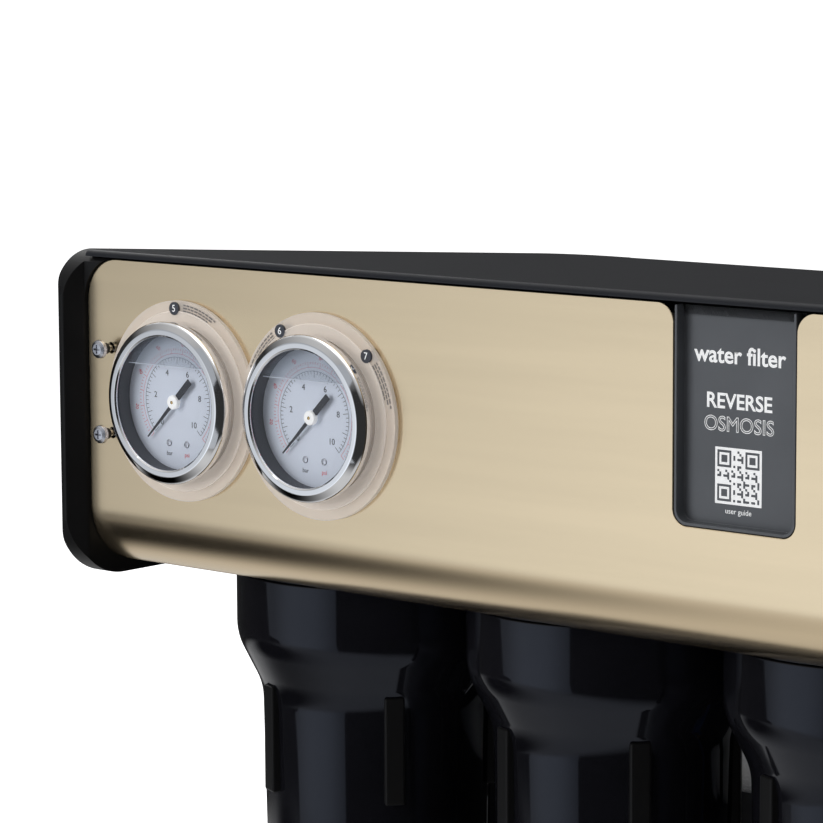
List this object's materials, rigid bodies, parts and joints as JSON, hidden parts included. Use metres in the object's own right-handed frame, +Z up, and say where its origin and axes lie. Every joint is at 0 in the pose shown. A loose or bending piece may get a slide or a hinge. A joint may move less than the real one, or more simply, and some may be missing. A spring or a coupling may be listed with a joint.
{
  "type": "reverse osmosis unit",
  "caption": "Water purifier with a gold-fronted hood, pressure gauges, hanging filter bowls, a membrane vessel and a booster pump on a steel chassis.",
  "frame": {"origin": "on the floor, at the middle of the outline of the unit seen from above", "axes": "+Z up; the front with the gauges faces -Y; +X to the right for someone facing the front"},
  "size_m": [0.447, 0.358, 0.4779],
  "materials": {
    "black_paint": "satin black powder coat",
    "black_plastic": "glossy black polypropylene",
    "moulded_cheek": "satin black moulding",
    "gold_steel": "brushed champagne gold",
    "label_plate": "satin dark grey",
    "chrome": "polished",
    "dial_white": "printed white enamel",
    "needle_black": "black enamel, white hub",
    "clear_glass": "clear",
    "ring_acrylic": "frosted acrylic",
    "brass": "machined",
    "zinc_screw": "zinc plated",
    "rubber": "moulded rubber",
    "filter_media": "melt-blown fibre with moulded end caps",
    "vessel_white": "white polypropylene",
    "membrane_wrap": "film wrap",
    "motor_paint": "dark grey enamel",
    "fan_plastic": "moulded",
    "handle_blue": "moulded",
    "inlet_plastic": "moulded",
    "rocker_red": "moulded",
    "tube_white": "polyethylene tube",
    "tube_blue": "polyethylene tube"
  },
  "bodies": {
    "chassis": {"back_plate": "black_paint", "base_tray": "black_paint", "cheek_left": "moulded_cheek", "cheek_right": "moulded_cheek", "drain_line": "tube_white", "drain_valve_body": "brass", "feed_line": "tube_blue", "feed_valve_body": "brass", "filter_head_1": "black_plastic", "filter_head_2": "black_plastic", "filter_head_3": "black_plastic", "foot_1": "rubber", "foot_2": "rubber", "foot_3": "rubber", "foot_4": "rubber", "front_panel": "gold_steel", "gauge_bezel_left": "chrome", "gauge_bezel_right": "chrome", "gauge_case_left": "chrome", "gauge_case_right": "chrome", "gauge_dial_left": "dial_white", "gauge_dial_right": "dial_white", "gauge_glass_left": "clear_glass", "gauge_glass_right": "clear_glass", "gauge_stem_left": "brass", "gauge_stem_right": "brass", "head_rail": "black_paint", "label_plate": "label_plate", "link_nipple_left": "brass", "link_nipple_right": "brass", "membrane_element": "membrane_wrap", "membrane_vessel": "vessel_white", "panel_screw_lower": "zinc_screw", "panel_screw_upper": "zinc_screw", "permeate_line": "tube_white", "power_inlet": "inlet_plastic", "prefiltered_line": "tube_blue", "pressure_line": "tube_white", "pump_bracket": "rubber", "pump_head": "brass", "pump_motor": "motor_paint", "ring_plate": "ring_acrylic", "side_panel_left": "black_paint", "side_panel_right": "black_paint", "top_cover": "black_paint", "vessel_cap": "vessel_white", "vessel_cradle": "moulded_cheek"},
    "cartridge_1": {"filter_cartridge_1": "filter_media"},
    "bowl_1": {"filter_bowl_1": "black_plastic"},
    "cartridge_2": {"filter_cartridge_2": "filter_media"},
    "bowl_2": {"filter_bowl_2": "black_plastic"},
    "cartridge_3": {"filter_cartridge_3": "filter_media"},
    "bowl_3": {"filter_bowl_3": "black_plastic"},
    "needle_left": {"gauge_needle_left": "needle_black"},
    "needle_right": {"gauge_needle_right": "needle_black"},
    "feed_handle": {"feed_valve_lever": "handle_blue"},
    "drain_knob": {"drain_valve_knob": "handle_blue"},
    "rocker": {"rocker_switch": "rocker_red"},
    "fan": {"pump_fan": "fan_plastic"}
  },
  "joints": [
    {"name": "bowl_1_drop", "type": "slide", "parent": "chassis", "child": "cartridge_1", "axis": [0, 0, -1], "range_m": [0, 0.0181]},
    {"name": "bowl_1_turn", "type": "hinge", "parent": "cartridge_1", "child": "bowl_1", "pos_m": [-0.1325, -0.071, 0.3], "axis": [0, 0, -1], "range_deg": [0, 1080]},
    {"name": "bowl_2_drop", "type": "slide", "parent": "chassis", "child": "cartridge_2", "axis": [0, 0, -1], "range_m": [0, 0.0181]},
    {"name": "bowl_2_turn", "type": "hinge", "parent": "cartridge_2", "child": "bowl_2", "pos_m": [0, -0.071, 0.3], "axis": [0, 0, -1], "range_deg": [0, 1080]},
    {"name": "bowl_3_drop", "type": "slide", "parent": "chassis", "child": "cartridge_3", "axis": [0, 0, -1], "range_m": [0, 0.0181]},
    {"name": "bowl_3_turn", "type": "hinge", "parent": "cartridge_3", "child": "bowl_3", "pos_m": [0.1325, -0.071, 0.3], "axis": [0, 0, -1], "range_deg": [0, 1080]},
    {"name": "needle_left_turn", "type": "hinge", "parent": "chassis", "child": "needle_left", "pos_m": [-0.1555, -0.1705, 0.417], "axis": [0, 1, 0], "range_deg": [0, 270]},
    {"name": "needle_right_turn", "type": "hinge", "parent": "chassis", "child": "needle_right", "pos_m": [-0.077, -0.1705, 0.417], "axis": [0, 1, 0], "range_deg": [0, 270]},
    {"name": "feed_handle_turn", "type": "hinge", "parent": "chassis", "child": "feed_handle", "pos_m": [0.206, 0.045, 0.1673], "axis": [0, 0, 1], "range_deg": [0, 90]},
    {"name": "drain_knob_turn", "type": "hinge", "parent": "chassis", "child": "drain_knob", "pos_m": [0.206, 0.088, 0.2663], "axis": [0, 0, 1], "range_deg": [0, 330]},
    {"name": "rocker_tip", "type": "hinge", "parent": "chassis", "child": "rocker", "pos_m": [-0.191, 0.1, 0.16275], "axis": [0, 1, 0], "range_deg": [0, 16]},
    {"name": "fan_spin", "type": "hinge", "parent": "chassis", "child": "fan", "pos_m": [0.082, 0.088, 0.082], "axis": [1, 0, 0], "continuous": true}
  ],
  "couplings": [
    {"joint": "bowl_1_drop", "follows": "bowl_1_turn", "m_per_rad": 0.00095493},
    {"joint": "bowl_2_drop", "follows": "bowl_2_turn", "m_per_rad": 0.00095493},
    {"joint": "bowl_3_drop", "follows": "bowl_3_turn", "m_per_rad": 0.00095493}
  ]
}
